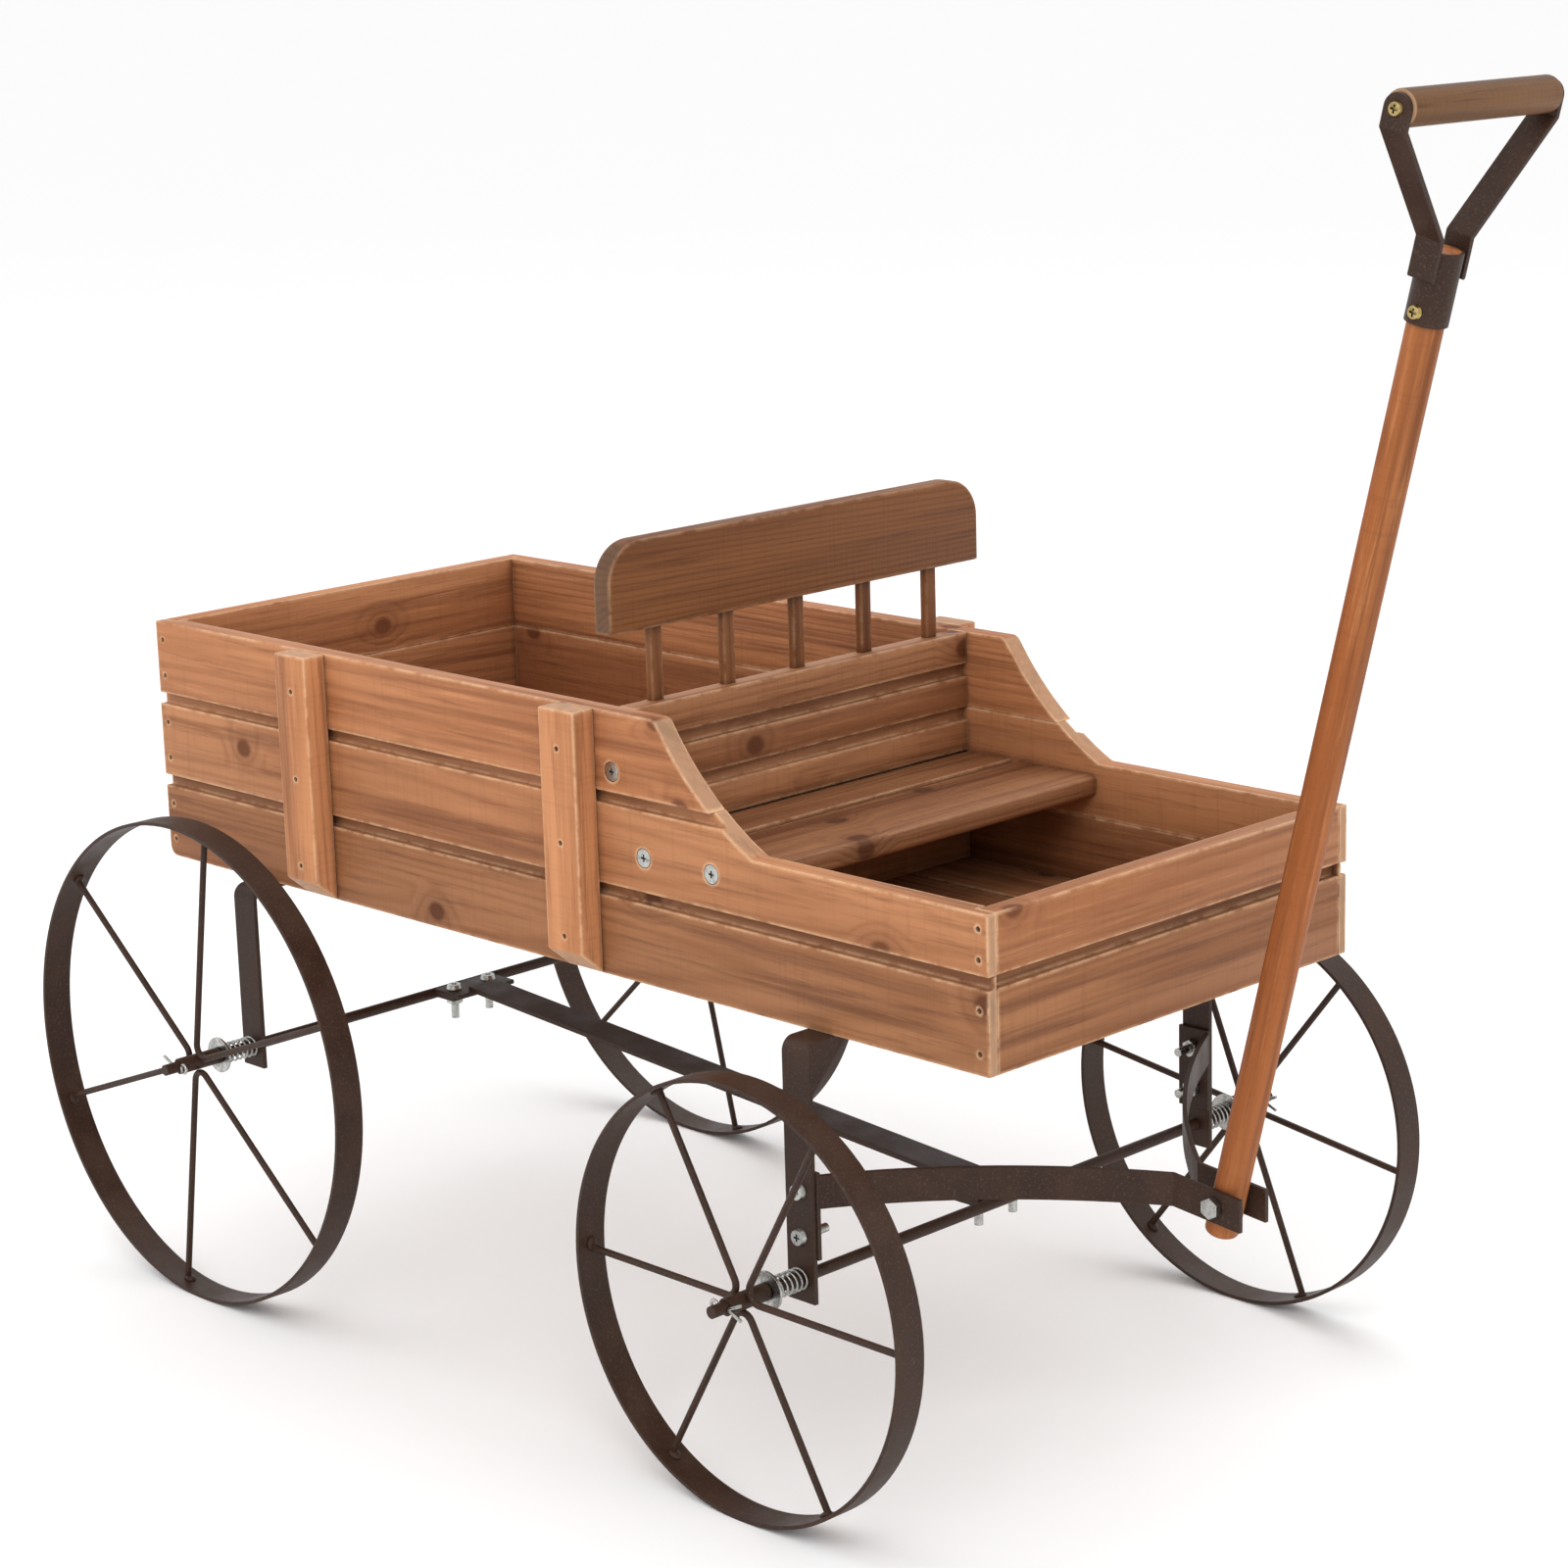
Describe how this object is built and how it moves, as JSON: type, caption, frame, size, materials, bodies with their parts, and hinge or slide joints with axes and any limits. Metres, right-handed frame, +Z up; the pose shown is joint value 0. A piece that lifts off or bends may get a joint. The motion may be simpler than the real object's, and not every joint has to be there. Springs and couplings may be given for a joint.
{
  "type": "two-bed garden wagon",
  "caption": "Wooden garden wagon with a deep rear bed, a low front bed with a bench, spoked metal wheels and a hinged pull handle.",
  "frame": {"origin": "on the ground, on the centre plane, half way between the back of the rear wheels and the front of the grip", "axes": "+X to the front where the handle is, +Y to the left side, +Z up"},
  "size_m": [0.7243, 0.358, 0.5705],
  "materials": {
    "box_wood": "reddish brown stained softwood, worn lighter at the edges",
    "dark_wood": "darker brown stained softwood",
    "handle_wood": "orange-brown stained dowel",
    "grip_wood": "stained turned grip",
    "brown_metal": "matte dark brown powder coat",
    "zinc": "zinc plated",
    "nail_steel": "dull brad heads",
    "yellow_zinc": "yellow passivated zinc"
  },
  "bodies": {
    "wagon": {"back_slats": "dark_wood", "backrest_board": "dark_wood", "batten_front_left": "box_wood", "batten_front_right": "box_wood", "batten_rear_left": "box_wood", "batten_rear_right": "box_wood", "box_nails": "nail_steel", "chassis_bolts": "zinc", "chassis_nuts": "zinc", "cotter_pins": "zinc", "divider_boards": "dark_wood", "drawbar_left": "brown_metal", "drawbar_right": "brown_metal", "floor_boards": "box_wood", "front_axle": "brown_metal", "front_board_bottom": "box_wood", "front_board_middle": "box_wood", "front_bracket": "brown_metal", "pivot_bolt": "zinc", "pivot_nut": "zinc", "reach_bar": "brown_metal", "rear_axle": "brown_metal", "rear_board_bottom": "box_wood", "rear_board_middle": "box_wood", "rear_board_top": "box_wood", "rear_bracket": "brown_metal", "seat_board_front": "dark_wood", "seat_board_rear": "dark_wood", "seat_screws": "zinc", "side_board_bottom_left": "box_wood", "side_board_bottom_right": "box_wood", "side_board_middle_left": "box_wood", "side_board_middle_right": "box_wood", "side_board_top_left": "box_wood", "side_board_top_right": "box_wood", "spring_front_left": "zinc", "spring_front_right": "zinc", "spring_rear_left": "zinc", "spring_rear_right": "zinc"},
    "wheel_rear_right": {"rim_rear_right": "brown_metal", "spokes_rear_right": "brown_metal", "hub_rear_right": "brown_metal"},
    "float_rear_right": {"washer_rear_right": "zinc"},
    "wheel_rear_left": {"rim_rear_left": "brown_metal", "spokes_rear_left": "brown_metal", "hub_rear_left": "brown_metal"},
    "float_rear_left": {"washer_rear_left": "zinc"},
    "wheel_front_right": {"rim_front_right": "brown_metal", "spokes_front_right": "brown_metal", "hub_front_right": "brown_metal"},
    "float_front_right": {"washer_front_right": "zinc"},
    "wheel_front_left": {"rim_front_left": "brown_metal", "spokes_front_left": "brown_metal", "hub_front_left": "brown_metal"},
    "float_front_left": {"washer_front_left": "zinc"},
    "handle": {"handle_shaft": "handle_wood", "handle_socket": "brown_metal", "grip_arms": "brown_metal", "handle_grip": "grip_wood", "handle_screws": "yellow_zinc"}
  },
  "joints": [
    {"name": "handle_tilt", "type": "hinge", "parent": "wagon", "child": "handle", "pos_m": [0.24283, 0, 0.1195], "axis": [0, 1, 0], "range_deg": [-21, 88]},
    {"name": "wheel_play_rear_right", "type": "slide", "parent": "wagon", "child": "float_rear_right", "axis": [0, 1, 0], "range_m": [0, 0.008], "stiffness_N_per_m": 400, "springref_m": -0.004, "deforming": ["spring_rear_right"]},
    {"name": "wheel_spin_rear_right", "type": "hinge", "parent": "float_rear_right", "child": "wheel_rear_right", "pos_m": [-0.24597, -0.1611, 0.1162], "axis": [0, 1, 0], "continuous": true},
    {"name": "wheel_play_rear_left", "type": "slide", "parent": "wagon", "child": "float_rear_left", "axis": [0, -1, 0], "range_m": [0, 0.008], "stiffness_N_per_m": 400, "springref_m": -0.004, "deforming": ["spring_rear_left"]},
    {"name": "wheel_spin_rear_left", "type": "hinge", "parent": "float_rear_left", "child": "wheel_rear_left", "pos_m": [-0.24597, 0.1611, 0.1162], "axis": [0, 1, 0], "continuous": true},
    {"name": "wheel_play_front_right", "type": "slide", "parent": "wagon", "child": "float_front_right", "axis": [0, 1, 0], "range_m": [0, 0.008], "stiffness_N_per_m": 400, "springref_m": -0.004, "deforming": ["spring_front_right"]},
    {"name": "wheel_spin_front_right", "type": "hinge", "parent": "float_front_right", "child": "wheel_front_right", "pos_m": [0.12343, -0.1611, 0.0931], "axis": [0, 1, 0], "continuous": true},
    {"name": "wheel_play_front_left", "type": "slide", "parent": "wagon", "child": "float_front_left", "axis": [0, -1, 0], "range_m": [0, 0.008], "stiffness_N_per_m": 400, "springref_m": -0.004, "deforming": ["spring_front_left"]},
    {"name": "wheel_spin_front_left", "type": "hinge", "parent": "float_front_left", "child": "wheel_front_left", "pos_m": [0.12343, 0.1611, 0.0931], "axis": [0, 1, 0], "continuous": true}
  ]
}
